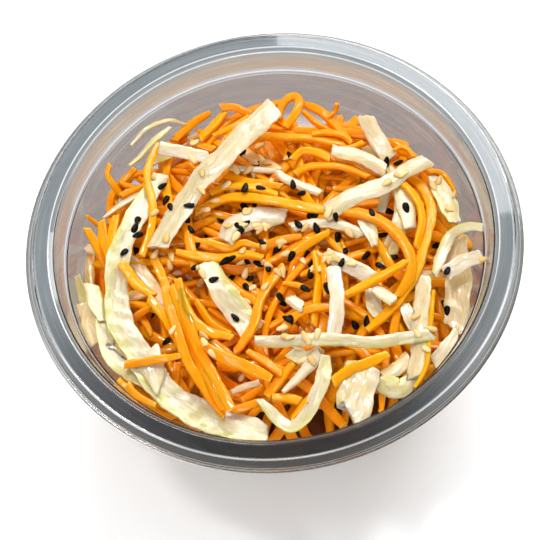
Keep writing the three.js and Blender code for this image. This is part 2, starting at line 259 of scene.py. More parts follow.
heap = dict(
    level=50.0,  # the layout's places are given on this level
    limit=54.0,  # nothing stands higher
    middle=36.0,  # the core's height in the middle
    edgeDrop=3.0,
    backDrop=4.5,
    backSlope=(15, 52),  # begins and ends this far behind the middle
    frontDrop=4.0,
    frontSlope=(28, 50),
    bump=0.9,
    inset=1.2,  # how far the core stays inside the bowl
    cell=0.5,
    half=64.0,
)


def coreTop(x, y):
    # a low dome that falls with the square of the radius, and further at the back and front,
    # with bumps that are the product of two sines
    out = np.minimum(np.hypot(x, y) / ledgeIn, 1)
    bumps = np.sin(x * 0.31 + 1.2) * np.cos(y * 0.27 - 0.6)
    slope = heap["backDrop"] * easeIn(*heap["backSlope"], y)
    slope = slope + heap["frontDrop"] * easeIn(*heap["frontSlope"], -y)
    return heap["middle"] - heap["edgeDrop"] * out**2 - slope + heap["bump"] * bumps


mapAxis = np.arange(-heap["half"], heap["half"] + 0.1, heap["cell"])
heights = coreTop(*np.meshgrid(mapAxis, mapAxis))


def cellsNear(spots, reach):
    # rows and columns of the height map in a disc round each spot, and their distance from it
    far = math.ceil(reach / heap["cell"])
    rows, columns = np.mgrid[-far:far + 1, -far:far + 1].reshape(2, -1)
    away = np.hypot(rows, columns) * heap["cell"]
    near = away <= reach
    middle = np.rint((spots[:, :2] + heap["half"]) / heap["cell"]).astype(int)
    row = np.clip(middle[:, 1:] + rows[near], 0, len(mapAxis) - 1)
    column = np.clip(middle[:, :1] + columns[near], 0, len(mapAxis) - 1)
    return row, column, away[near]


def alongSight(plan, z):
    # moves each place down its line of sight from the layout's level to its real height
    share = (eye[2] - z) / (eye[2] - heap["level"])
    return eye[:2] + (plan - eye[:2]) * share[:, None]


def insideBowl(spots, z, width):
    # moves what would stand in the wall straight in towards the axis
    margin = 0.3 * width + 0.2
    out = np.hypot(spots[:, 0], spots[:, 1])
    limit = wallRadius(z) - margin
    return spots * np.minimum(1, limit / np.maximum(out, 1e-6))[:, None]


def softened(values, width):
    # each value becomes the bell-weighted mean of its neighbours
    gap = np.arange(len(values))[:, None] - np.arange(len(values))[None, :]
    weight = np.exp(-0.5 * (gap / width) ** 2)
    return weight @ values / weight.sum(axis=1)


laying = dict(
    pitch=1.5,  # between the places of a path as it is laid down
    rounds=6,  # each brings the path half way to where it rests
    start=46,  # height before the first round
    reach=0.42,  # how much of its width under it a shred feels
    pliant=4,  # a shred narrower than this gives way to the highest tenth of what is under it
)


def layDown(places, width, thickness, sag, sink, fromEye=True):
    # a shred rests on the highest thing under it or hangs from a stretch that does,
    # drooping with the square of the distance; its own lifts are added
    lifted = [(*place, 0)[:3] for place in places]
    plan, pitch = smoothPath(lifted, laying["pitch"])
    gap = (np.arange(len(plan))[:, None] - np.arange(len(plan))[None, :]) * pitch
    z = np.full(len(plan), float(laying["start"]))
    felt = 0.9 if width < laying["pliant"] else 1
    for _ in range(laying["rounds"]):
        spots = alongSight(plan[:, :2], z) if fromEye else plan[:, :2]
        row, column, _ = cellsNear(insideBowl(spots, z, width), max(laying["reach"] * width, 1))
        rest = np.quantile(heights[row, column], felt, axis=1) + thickness / 2 - sink
        hung = (rest[None, :] - sag * gap**2).max(axis=1)
        settled = softened(np.maximum(hung, softened(hung, 1.5)), 1.2) + plan[:, 2]
        z = (z + np.minimum(settled, heap["limit"] - thickness / 2)) / 2
    spots = alongSight(plan[:, :2], z) if fromEye else plan[:, :2]
    return np.column_stack([insideBowl(spots, z, width), z])


def raiseMap(path, width, thickness):
    # the shred's back, rounded as a superellipse: full height in the middle, none at its sides
    steps = np.linspace(0, len(path) - 1, 3 * len(path))
    line = np.column_stack([np.interp(steps, np.arange(len(path)), column) for column in path.T])
    row, column, away = cellsNear(line, width / 2)
    back = np.sqrt(np.maximum(1 - (away / (width / 2 + 0.3)) ** 4, 0)) * thickness / 2
    np.maximum.at(heights, (row, column), line[:, 2:] + back)


# Shreds: a rounded section carried along a path

shredKinds = dict(  # taper is the least width of an end, roll is in degrees
    carrot=dict(thickness=1.7, taper=0.6, curl=0.0, roll=40, sag=0.008, tint=0.0, ragged=0.3),
    white=dict(thickness=1.3, taper=0.8, curl=0.14, roll=16, sag=0.010, tint=0.15, ragged=0.7),
    green=dict(thickness=1.0, taper=0.5, curl=0.22, roll=20, sag=0.014, tint=0.6, ragged=0.8),
    peach=dict(thickness=1.1, taper=0.6, curl=0.25, roll=18, sag=0.014, tint=0.2, ragged=0.9),
    stalk=dict(thickness=2.0, taper=0.95, curl=0.10, roll=6, sag=0.006, tint=0.2, ragged=0.9),
    leaf=dict(thickness=1.6, taper=0.7, curl=-0.25, roll=12, sag=0.012, tint=0.75, ragged=0.7, greenSide=-1),
    film=dict(thickness=1.6, taper=0.95, curl=0.1, roll=4, sag=0.02, tint=0.1, ragged=0.4),
)

cutShape = dict(
    squareness=4.0,  # of a carrot's section: 2 is an ellipse
    flattest=0.85,  # a carrot is no thicker than this share of its width
    roundFrom=(0, 0.1, 0.3, 0.7),  # the end rings' distances from the tip, in thicknesses
    roundTo=(0.86, 0.95, 0.99, 1),  # and their sizes
    taperRun=6.0,
    slant=0.7,
    slantWidth=4,  # wider ends are cut less aslant
    flatShare=0.25,  # of the roll that is left in a shred pressed flat
)


def section(kind, sides):
    # a carrot's is a superellipse; a leaf's is a band that thins to its edges, with more points there
    if kind == "carrot":
        angle = 2 * np.pi * (np.arange(sides) + 0.5) / sides - np.pi / 2
        power = 2 / cutShape["squareness"]
        a = np.sign(np.cos(angle)) * np.abs(np.cos(angle)) ** power
        b = np.sign(np.sin(angle)) * np.abs(np.sin(angle)) ** power
        return a, b
    across = 0.97 * np.sin(np.linspace(-np.pi / 2, np.pi / 2, sides // 2 - 1))
    down = 1 - 0.45 * across**2 - 0.2 * np.abs(across) ** 10
    return np.concatenate([across, [1], across[::-1], [-1]]), np.concatenate([-down, [0], down, [0]])


def ringPlaces(path, thickness, ringStep):
    # runs along the path, close together at the two ends and evenly in between, and in columns
    # each ring's distance from the nearer end and how much the rounding of that end shrinks it
    run = np.concatenate([[0], np.cumsum(np.linalg.norm(np.diff(path, axis=0), axis=1))])
    length = run[-1]
    ends = np.array(cutShape["roundFrom"]) * thickness
    count = max(2, int((length - 2 * ends[-1]) / ringStep))
    evenly = np.linspace(ends[-1], length - ends[-1], count + 2)[1:-1]
    s = np.concatenate([ends, evenly, length - ends[::-1]])
    middle = np.column_stack([np.interp(s, run, column) for column in path.T])
    near = np.minimum(s, length - s)[:, None]
    return s[:, None], middle, near, np.interp(near, ends, cutShape["roundTo"])


def ringWays(middle, s, facing, turn):
    # at each ring the way along the path, and the ways across it and out of it, turned by the roll
    along = unit(np.gradient(middle, s[:, 0], axis=0))
    across = unit(np.cross(facing, along))
    upward = np.cross(along, across)
    sine, cosine = np.sin(turn), np.cos(turn)
    return along, across * cosine + upward * sine, upward * cosine - across * sine


def intoWall(points):
    # what would pass through the wall is pressed just into it, and nothing stands over the limit
    out = np.hypot(points[:, 0], points[:, 1])
    pressed = np.minimum(1, (wallRadius(points[:, 2]) + 0.15) / np.maximum(out, 1e-6))
    low = np.minimum(points[:, 2], heap["limit"] + 0.3)
    return np.column_stack([points[:, :2] * pressed[:, None], low])


def shred(kind, width, path, random, facing=(0, 0, 1), ringStep=1.0, sides=None, flat=False, buried=0.0):
    # the section at each place of the path, its width and thickness waved by sines, bent across by
    # its curl and turned by its roll; a width is one number, or one for the start and one for the end
    made = shredKinds[kind]
    startWidth, endWidth = (width, width) if np.ndim(width) == 0 else width
    width = (startWidth + endWidth) / 2
    thickness = made["thickness"] * random.uniform(0.85, 1.15)
    if kind == "carrot":
        thickness = min(thickness, width * cutShape["flattest"])
    sides = sides or (12 if kind == "carrot" else 12 + 2 * int(width / 1.5))
    s, middle, near, shrink = ringPlaces(path, thickness, ringStep)
    length = s[-1, 0]

    waves = random.uniform(0, fullTurn, 8)  # where each of the sines starts
    ends = random.uniform(made["taper"], 1, 2)
    tapered = np.minimum(ends[0] + (1 - ends[0]) * easeIn(0, cutShape["taperRun"], s),
                         ends[1] + (1 - ends[1]) * easeIn(0, cutShape["taperRun"], length - s))
    halfWidth = (startWidth + (endWidth - startWidth) * s / length) / 2 * tapered * shrink
    halfThick = thickness / 2 * (1 + 0.08 * np.sin(s * 0.5 + waves[2])) * shrink * (0.7 + 0.3 * tapered)
    edges = [0.06 * np.sin(s * 0.35 + waves[k]) + 0.04 * np.sin(s * 0.9 + waves[k + 4])
             + 0.15 * made["ragged"] / width * np.sin(s * 2.1 + waves[k + 2])
             + random.normal(0, 0.03, s.shape) * (width < 5) for k in (0, 1)]

    most = math.radians(made["roll"])
    limit = cutShape["flatShare"] if flat else 1
    roll = most * random.uniform(-1, 1) * limit
    twist = most * random.uniform(-1, 1) * limit
    turn = roll + twist * (s / length - 0.5) + 0.06 * np.sin(s * 0.4 + waves[3])
    upright = facing(middle) if callable(facing) else np.broadcast_to(np.array(facing, float), middle.shape)
    along, side, back = ringWays(middle, s, upright, turn)

    a, b = section(kind, sides)
    ridges = 1 + 0.12 * random.uniform(-1, 1, sides) * (kind == "carrot")
    curl = made["curl"] * random.uniform(-1, 1.2) * (1 + 0.4 * np.sin(s * 0.25 + waves[4]))
    ripple = made["ragged"] * (0.05 * np.sin(a * 5 + s * 0.45 + waves[5])
                               + 0.04 * np.sin(a * 3 - s * 1.3 + waves[6]))
    rise = b * ridges * halfThick + (a**2 - 0.4) * (curl * halfWidth) + ripple * width / 3
    slant = random.uniform(-cutShape["slant"], cutShape["slant"], 2) * min(1, cutShape["slantWidth"] / width)
    shift = np.exp(-s / 1.2) * slant[0] - np.exp(-(length - s) / 1.2) * slant[1]
    torn = made["ragged"] * 0.35 * np.sin(a * 7 + waves[0]) * np.exp(-near / 0.8)
    slide = a * halfWidth * shift + torn * np.sign(s - length / 2)
    aside = a * halfWidth * (1 + np.where(a < 0, *edges))
    points = (middle[:, None, :]
              + side[:, None, :] * aside[..., None]
              + back[:, None, :] * rise[..., None]
              + along[:, None, :] * slide[..., None]).reshape(-1, 3)

    grain = np.stack([
        np.broadcast_to(s + random.uniform(0, 900), rise.shape),
        a * halfWidth + random.uniform(0, 90),
        b * halfThick + random.uniform(0, 90),
    ], axis=-1).reshape(-1, 3)
    tone = random.uniform()
    tint = made["tint"] + random.normal(0, 0.1)
    eitherSide = random.choice([-1, 1])
    rings = len(s)
    return dict(
        points=intoWall(points),
        faces=tubeFaces(rings, sides).tolist() + [
            list(range(sides))[::-1],
            [(rings - 1) * sides + k for k in range(sides)],
        ],
        grain=grain,
        tone=np.full(len(points), tone),
        tint=np.full(len(points), np.clip(tint, 0, 1)),
        tip=np.broadcast_to(near, rise.shape).ravel(),
        side=np.broadcast_to(a[None, :] * made.get("greenSide", eitherSide), rise.shape).ravel(),
        # the share of painted shade, for a shred that lies low in the heap
        buried=np.full(len(points), float(buried)),
    )


pile = dict(carrot=[], cabbage=[])  # every shred by what it is cut from


def addShred(kind, *rest, **options):
    pile["carrot" if kind == "carrot" else "cabbage"].append(shred(kind, *rest, **options))


# Shreds pressed flat against the wall, in two layers

wallShreds = dict(
    count=250,
    half=(9, 15),  # half of a shred's length, least and most
    carrotWidth=(2.2, 3.2),
    cabbageWidth=(2.5, 6.5),
    steepness=0.55,
    steepest=1.3,
    bow=2.5,
    low=6.5,  # the lowest middle of a shred
    layerDepth=1.3,
    intoWall=0.1,
    seed=29,
)


def outward(points):
    # straight away from the axis, level
    flat = points.copy()
    flat[:, 2] = 0
    return unit(flat)


def wallPath(angle, low, high, random, depth):
    # an arc along the wall that rises or falls by its steepness and is bowed as a parabola
    middle = random.uniform(low, high)
    half = random.uniform(*wallShreds["half"])
    most = wallShreds["steepest"]
    slope = np.clip(random.normal(0, wallShreds["steepness"]), -most, most)
    s = np.linspace(-half, half, 16)
    bow = random.uniform(-wallShreds["bow"], wallShreds["bow"])
    height = np.clip(middle + s * math.sin(slope) + bow * (1 - (s / half) ** 2), low - 2, high)
    radius = wallRadius(height) - depth
    turn = angle + s * math.cos(slope) / radius
    return np.column_stack([radius * np.cos(turn), radius * np.sin(turn), height])


def layWallShreds():
    # the first half lies behind the second
    random = np.random.default_rng(wallShreds["seed"])
    edge = wallRadius(45)
    for i in range(wallShreds["count"]):
        angle = i * goldenAngle
        kind = random.choice(["carrot", "white", "green", "carrot", "white"])
        width = random.uniform(*wallShreds["carrotWidth" if kind == "carrot" else "cabbageWidth"])
        layer = wallShreds["layerDepth"] if i < wallShreds["count"] / 2 else 0
        high = coreTop(edge * math.cos(angle), edge * math.sin(angle)) - 0.5
        depth = shredKinds[kind]["thickness"] / 2 - wallShreds["intoWall"] + layer
        path = wallPath(angle, wallShreds["low"], high, random, depth)
        # half painted shade for the shreds against the wall
        addShred(kind, width, path, random, facing=outward, ringStep=2.4, sides=8, flat=True, buried=0.5)


layWallShreds()
print("against the wall:", sum(map(len, pile.values())), "shreds")

# Shreds under the larger ones, turned and curved at random over the whole heap

fillShreds = dict(
    count=165,
    reach=50,  # the middles of the shreds lie within this radius
    half=(13, 28),
    bow=14,
    carrotWidth=(1.9, 3.1),
    cabbageWidth=(2.2, 5.0),
    leafy=0.01,  # half of the chance that a shred in the upper part is cabbage
    leafyRight=0.07,
    leafyLeft=0.2,
    leafyFrom=0.6,  # the share that lies lower down is all carrot
    sink=0.9,
    droop=2.5,
    seed=11,
)


def layFillShreds():
    # middles are spread evenly over the disc, in steps of seven so that no stretch fills first
    random = np.random.default_rng(fillShreds["seed"])
    count = fillShreds["count"]
    for i in range(count):
        angle = i * goldenAngle
        out = fillShreds["reach"] * math.sqrt((i * 7 % count + 0.5) / count)
        middle = out * np.array([math.cos(angle), math.sin(angle)])
        turn = random.uniform(0, math.pi)
        way = np.array([math.cos(turn), math.sin(turn)])
        aside = np.array([-way[1], way[0]]) * random.uniform(-1, 1) * fillShreds["bow"]
        half = random.uniform(*fillShreds["half"])
        places = [tuple(middle - way * half), tuple(middle + aside), tuple(middle + way * half)]
        x, y = middle
        leafy = fillShreds["leafy"] + fillShreds["leafyRight"] * easeIn(10, 40, x - 0.2 * y)
        leafy += fillShreds["leafyLeft"] * easeIn(38, 46, -x - 0.5 * y)
        leafy *= 2 if i > count * fillShreds["leafyFrom"] else 0
        kind = random.choice(["white", "peach", "green"]) if random.uniform() < leafy else "carrot"
        width = random.uniform(*fillShreds["carrotWidth" if kind == "carrot" else "cabbageWidth"])
        thickness = shredKinds[kind]["thickness"]
        sag = shredKinds[kind]["sag"] * fillShreds["droop"]
        path = layDown(places, width, thickness, sag, fillShreds["sink"], fromEye=False)
        raiseMap(path, width, thickness)
        # full painted shade for the shreds under the larger ones
        addShred(kind, width, path, random, ringStep=2, sides=8 if kind == "carrot" else 12, buried=1)


layFillShreds()
print("heap filled to", np.quantile(heights[40:-40, 40:-40], [0.1, 0.5, 0.9, 1]).round(1), "mm")

# The larger shreds from the bottom of the heap up: kind, width, then places in plan,
# each with a lift where the shred stands off what it lies on

layout = [
    # left
    ("green", 3.6, (-60, 1, 5), (-58, -4.5, 2), (-53.5, -11)),
    ("white", 4.5, (-59.5, -8.5, 2), (-57, -17.5, 1)),
    ("white", 4.5, (-57, -19, 1), (-53, -17), (-50.5, -15.5)),
    ("white", 5.5, (-53, -9), (-55, -15), (-53, -21)),
    ("green", 7, (-48.5, -21.5), (-44.5, -29), (-38.5, -36)),
    ("green", 4.8, (-51.5, -13), (-51, -20), (-49.5, -27), (-41.5, -36.5)),
    ("green", 5, (-53.5, -2.5), (-52.5, -8.5), (-51, -15)),
    ("carrot", 2.6, (-31.5, -31.5), (-32.5, -35), (-33, -38.5)),
    ("carrot", 1.8, (-49.5, -34.5), (-46, -40), (-41, -44)),
    ("carrot", 2, (-46, -35.5), (-44, -39.5), (-39, -43.5)),
    ("carrot", 1.7, (-53, 20.5, 7), (-49.5, 16.5, 3)),
    ("carrot", 2.7, (-53, 16, 5), (-50.5, 9, 3), (-48.5, 2.5)),
    ("carrot", 3.2, (-48.5, 17.5), (-48.5, 11.5), (-47.5, 5)),
    ("carrot", 2.8, (-44, 18.5), (-46, 12), (-47, 7)),
    ("carrot", 2, (-47, 39, 8), (-44.5, 30.5, 5), (-41.5, 24.5)),
    ("carrot", 2.2, (-42, 25), (-38, 26), (-34, 27.5)),
    # back
    ("green", 1.4, (-38, 43, 9), (-31.5, 47, 9), (-25, 48.5, 8), (-20, 46, 4)),
    ("green", (1.4, 2.6), (-38.5, 35, 8), (-35, 37.5, 7), (-30, 42.5, 6), (-25, 46, 5)),
    ("green", 4, (-32.5, 34), (-29, 36), (-25.5, 36.5)),
    ("carrot", 2.6, (-19.5, 39.5), (-16.5, 37.5), (-13, 35.5)),
    ("carrot", 2, (-12.5, 40.5, 8), (-6, 42.5, 8), (-1, 45.5, 8)),
    ("carrot", 2.6, (-9, 38.5), (-5.5, 41), (-2, 44.5)),
    ("carrot", 2.6, (-24.5, 41), (-19, 45.5), (-12.5, 49)),
    ("carrot", 2.8, (-16.5, 40), (-12, 44), (-7.5, 48.5)),
    ("carrot", 2.6, (-9, 50), (-4.5, 49), (-0.5, 46)),
    ("green", 2, (-48, 18.5), (-42.5, 22), (-34.5, 25.5)),
    ("carrot", 2.8, (15, 47), (20.5, 43), (24, 37), (27, 31)),
    ("carrot", 2, (15, 44), (18.5, 39), (21.5, 36)),
    ("carrot", 2.6, (-3, 35.5), (1.5, 37.5), (6.5, 36.5), (16.5, 34), (25.5, 30)),
    ("carrot", 2.4, (16.5, 35.5), (21, 35.5), (25.5, 33.5), (27.5, 30.5)),
    ("carrot", 1.8, (25, 29), (28, 29), (31, 30)),
    ("carrot", 1.4, (22, 40.5), (24.5, 42), (25.5, 45, 3)),
    ("white", 5.2, (33, 39, 4), (35, 31, 2), (37.5, 22.5)),
    ("carrot", 2, (48, 16.5), (51, 16), (53.5, 12.5), (56, 7.5)),
    # right
    ("green", 5, (24.5, -18), (26, -28)),
    ("white", 7.6, (51.5, -7, 2), (50, -20, 1), (46, -35)),
    ("green", 5.6, (49.5, 14.5), (51, 7), (52.5, -1.5)),
    ("peach", 5.4, (39, 12.5), (39.5, 6.5), (39.5, -1)),
    ("white", 4.5, (24, -45.5), (28, -44), (32, -41)),
    ("peach", (5, 3), (39, -45), (43.5, -40.5), (46.5, -35)),
    ("green", (7, 5), (22.5, -46.5), (28, -50), (32, -47)),
    ("green", 4, (33.5, -24.5), (36, -34), (39, -37.5)),
    # front
    ("carrot", 3.4, (0, -37.5), (-8.5, -46)),
    ("carrot", 2.4, (-18.5, -48.5), (-14.5, -48), (-10.5, -47)),
    ("carrot", 2.4, (-15.5, -46), (-12.5, -44.5), (-9.5, -43)),
    ("carrot", 2.6, (-7, -46.5), (-3, -47.5), (0.5, -49)),
    ("white", 1.9, (-18, -43), (-14, -42), (-10, -41.5)),
    ("carrot", 2.6, (-12, -31.5), (-7.5, -35.5), (-3.5, -40)),
    ("carrot", 3, (5.5, -46.5), (-2.5, -54)),
    ("stalk", 10.5, (19, -41), (16.5, -48.5), (13.5, -57)),
    ("white", 4.8, (40.5, -17), (38, -27.5), (34.5, -41.5), (32.5, -47.5)),
    ("carrot", 1.3, (42.5, -22), (39.5, -33), (36.5, -44), (32, -50.5)),
    # middle
    ("white", 4.6, (21.5, 29), (29, 25.5), (36, 19)),
    ("carrot", 1.8, (39.5, 25.5), (41.5, 26.5), (43.5, 25), (44.5, 22)),
    ("carrot", 2.4, (9.5, 28), (13, 30.5), (17, 29), (20.5, 26)),
    ("carrot", 2.6, (9.5, 23), (13.5, 24.5), (19.5, 24), (25, 22), (30.5, 18)),
    ("carrot", 2.8, (-10.5, 26.5), (-4, 22.5), (5, 19.5)),
    ("carrot", 3, (-16, 21), (-10.5, 22.5), (-4, 21), (3.5, 17)),
    ("carrot", 3.2, (-28, 3.5), (-22.5, 1), (-15.5, -1), (-8.5, -1), (-3.5, -3)),
    ("carrot", 2.4, (-18.5, 5), (-13, 2), (-9, 3), (-4, 1)),
    ("carrot", 2.6, (4, -4), (9, -1), (14, 1), (16.5, 2)),
    ("peach", (8, 7), (-13.5, 4.5), (-10.5, 9), (-4, 10.5), (5, 9.5)),
    ("peach", 3.1, (6, 5.5), (13.5, 5.5), (21, 3), (25.5, -1)),
    ("green", 4.6, (27, 4), (28, 0), (28.5, -5)),
    ("green", 3, (35.5, 13), (33.5, 9), (32, 5.5)),
    ("green", (6.5, 9), (-19.5, -1.5), (-17, -10), (-13.5, -18), (-9, -26)),
    ("green", 4.5, (0, -33.5), (4, -36.5), (8.5, -34.5)),
    ("white", (5, 1.5), (8, -35.5), (1.5, -41.5), (-4, -45.5)),
    ("carrot", 3.2, (26.5, -39), (20, -41), (14.5, -42.5), (10, -45)),
    ("green", (4.6, 3), (9.5, -36.5), (7.5, -43.5), (4, -50), (0.5, -54.3), (-3, -56), (-5.8, -54.2),
     (-8.2, -50.5), (-10.5, -46.5)),
    ("carrot", 2.6, (11.5, -3.5), (11.5, -11), (10, -17.5), (7.5, -27)),
    ("carrot", 2, (13.5, -5), (13, -12), (12.5, -18)),
    ("carrot", 2.6, (13.5, -22), (8, -21.5), (3, -23), (-1.5, -27)),
    ("peach", 3.6, (2, -17), (5.5, -21)),
    ("carrot", 2, (1, -12), (5, -13.5), (7.5, -15)),
    ("white", 1.9, (-9, 28.5), (-1.5, 26.5), (4.5, 25)),
    ("white", 2.8, (4.5, 25), (6.5, 22), (16, 15)),
    ("leaf", (5.5, 9.5), (-29.5, 30), (-37.5, 18.5), (-44, 7), (-46, -3), (-46.5, -15.5), (-42.5, -26),
     (-38.5, -35.5), (-33, -43.5), (-23, -51), (-10, -58)),
    ("film", (11, 1), (-40.5, -28.5), (-38.5, -33), (-38.5, -40)),
    ("carrot", 3.3, (-44, 2.5), (-40.5, -4.5), (-36, -9.5)),
    ("carrot", 2.8, (-35, 4.5), (-33, -3.5), (-31, -12.5), (-30, -17.5)),
    ("carrot", 2.6, (-37.5, -10), (-34.5, -15), (-32, -21), (-30.5, -26.5)),
    ("carrot", 3, (40.5, 18), (43.5, 14.5), (46, 9), (46.5, 3), (44.5, -2.5), (42, -8.5), (38.5, -15.5),
     (33.5, -22), (28.5, -26.5), (22, -31)),
    ("carrot", 2.4, (39, 16), (43, 8), (43.5, 2), (42, -3), (40, -7.5)),
    # on top
    ("carrot", 3, (-21, 15.5), (-11, 18.5), (0, 16), (10.5, 11.5), (18, 9)),
    ("carrot", 3.4, (18.5, 9), (26, 6.5), (31.5, 3), (35, -1.5), (37.5, -7), (37.8, -12), (36, -17.5),
     (32, -22)),
    ("carrot", 2.8, (-32.5, -4.5), (-32, -12.5), (-30.5, -22), (-29, -31), (-24.5, -42), (-20.5, -49.5)),
    ("carrot", 2.6, (-30.5, -7.5), (-29, -18), (-26.5, -30), (-23, -41), (-20.5, -48)),
    ("carrot", 3, (-28.5, -5.5), (-28, -13), (-26.5, -22), (-25, -29.5), (-21.5, -39), (-18.5, -48.5)),
    ("carrot", 2.8, (-28, -8.5), (-26.5, -17.5), (-22, -23.5), (-15.5, -26.5)),
    ("carrot", 2.2, (-24, -13.5), (-20.5, -21.5), (-16, -25.5)),
    ("carrot", 2.8, (2, -6.5), (-4, -13), (-7, -18), (-9, -23.5), (-13.5, -29.5), (-15.5, -31)),
    ("white", 4.8, (14.5, -5), (20.5, -10), (26, -15)),
    ("white", 4.6, (26, -18), (31, -23.5)),
    ("carrot", 3, (18, -19), (24.5, -16.5), (31, -14), (36.5, -11.5)),
    ("white", 4.3, (15.5, -9.5), (15.5, -19.5), (12.5, -31)),
    ("carrot", 3.5, (-24, -27), (-19.5, -31.5), (-13, -36), (-6.5, -41)),
    ("green", 3.6, (-9.5, -28.5), (-3, -30), (6.5, -31), (14.5, -32.5), (23, -35), (30.5, -35),
     (39.5, -35.5)),
    ("green", 3.4, (60, -4.5, 8), (56, -3.5, 5), (51, -5, 2), (47.5, -10), (43.5, -17)),
    ("white", 4.8, (58.5, -13.5, 5), (53, -14.5, 2), (46.5, -17.5)),
    ("white", (6.4, 5), (16.5, 8.5), (25.5, 12.5), (34.5, 14.5), (41.5, 18), (48.5, 20.5)),
    ("carrot", 2.3, (-29, 41), (-33.5, 31.5), (-33, 21), (-34.5, 12), (-38, 4)),
    ("carrot", 2.6, (7.5, 43), (9.5, 48), (13, 50), (14.5, 48), (13, 44), (9, 39.5)),
    ("white", 4.2, (-29, 39.5), (-21, 36), (-14.5, 33)),
    ("white", (7.6, 7), (7, 47.5), (1, 42.5), (-10.5, 33), (-20, 24), (-33.5, 6)),
    ("carrot", 2.4, (-46.5, -29.5), (-37.5, -29.5), (-30.5, -29.5)),
]


laidShreds = dict(
    shade=0.5,  # the lowest one's share of painted shade, which fades with the square of the rest
    carrotSink=0.5,  # how deep a shred settles into what it lies on
    cabbageSink=0.45,
    seed=3,
)


def layLayout():
    # each shred settles on those before it and raises the height map for those after it
    random = np.random.default_rng(laidShreds["seed"])
    for i, (kind, width, *places) in enumerate(layout):
        thickness = shredKinds[kind]["thickness"]
        meanWidth = float(np.mean(width))
        sink = laidShreds["carrotSink" if kind == "carrot" else "cabbageSink"]
        path = layDown(places, meanWidth, thickness, shredKinds[kind]["sag"], sink)
        raiseMap(path, meanWidth, thickness)
        # painted shade that is strongest for the lowest shreds of the layout
        addShred(kind, width, path, random, buried=laidShreds["shade"] * (1 - i / len(layout)) ** 2)


layLayout()
print("heap laid to", np.quantile(heights[40:-40, 40:-40], [0.1, 0.5, 0.9, 1]).round(1), "mm")


def joined(shreds):
    # one after the other, each shred's corners counted on from those before it
    starts = np.cumsum([0] + [len(one["points"]) for one in shreds[:-1]]).tolist()
    faces = [[corner + start for corner in face]
             for one, start in zip(shreds, starts) for face in one["faces"]]
    labels = [label for label in shreds[0] if label not in ("points", "faces")]
    attributes = {label: np.concatenate([one[label] for one in shreds]) for label in labels}
    return np.concatenate([one["points"] for one in shreds]), faces, attributes


pileMeshes = {name: joined(shreds) for name, shreds in pile.items()}
carrotShreds = newPiece("carrot_shreds", *pileMeshes["carrot"])
cabbageShreds = newPiece("cabbage_shreds", *pileMeshes["cabbage"])
for piece, slotName in ((carrotShreds, "carrot"), (cabbageShreds, "cabbage")):
    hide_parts("slaw")
    print(piece.name, len(piece.data.loops) - 2 * len(piece.data.polygons), "triangles")

# The core under the shreds

core = dict(
    sides=160,
    wallRings=26,
    domeRings=40,
    edge=54,  # the dome's height at this radius is where it meets the wall
    intoBase=0.1,
    puntGap=3,  # how far the lowest ring lies inside the punt
    lump=0.7,
)


def coreSurface():
    # rings up the bowl's wall, then inwards over the dome, lumpy as a product of two warped sines
    turn = np.linspace(0, 2 * np.pi, core["sides"], endpoint=False)
    wayX, wayY = np.cos(turn), np.sin(turn)
    edge = coreTop(core["edge"] * wayX, core["edge"] * wayY)
    floor = bowl["punt"] + bowl["wall"] - core["intoBase"]
    share = np.linspace(0, 1, core["wallRings"])[:, None]
    z = floor + (edge - floor) * share
    radius = wallRadius(z) - heap["inset"]
    radius = np.where(share == 0, bowl["foot"] - bowl["footWidth"] - core["puntGap"], radius)
    x, y = radius * wayX, radius * wayY
    inwards = np.linspace(1, 0, core["domeRings"] + 1)[1:-1, None]
    domeX, domeY = x[-1] * inwards, y[-1] * inwards
    lumps = np.sin(domeX * 0.9 + 2 * np.sin(domeY * 0.4)) * np.sin(domeY * 0.8 + 2 * np.sin(domeX * 0.5))
    domeZ = coreTop(domeX, domeY) + core["lump"] * lumps
    rings = [np.vstack(rows) for rows in ((x, domeX), (y, domeY), (z, domeZ))]
    points = np.stack(rings, axis=-1).reshape(-1, 3)
    points = np.vstack([points, [0, 0, floor], [0, 0, float(coreTop(0, 0))]])
    return points, closedFaces(len(rings[0]), core["sides"])


coreMesh = coreSurface()
slawCore = newPiece("slaw_core", *coreMesh)
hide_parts("slaw")
print("core:", len(slawCore.data.polygons), "faces")

# Sesame seeds: a drop shape, dropped on what is seen from the eye

sesame = dict(
    length=3.4,
    width=1.9,
    thickness=0.95,
    rings=6,
    sides=8,
    blunt=0.33,  # how much fuller one end is
    size=(0.88, 1.1),
    lean=0.18,
    upright=0.6,  # draws a seed that lies on a slope towards the level
    stand=0.3,  # share of its thickness between its middle and what it lies on
    blackSeed=8,
    creamSeed=9,
    patchSeed=17,
)

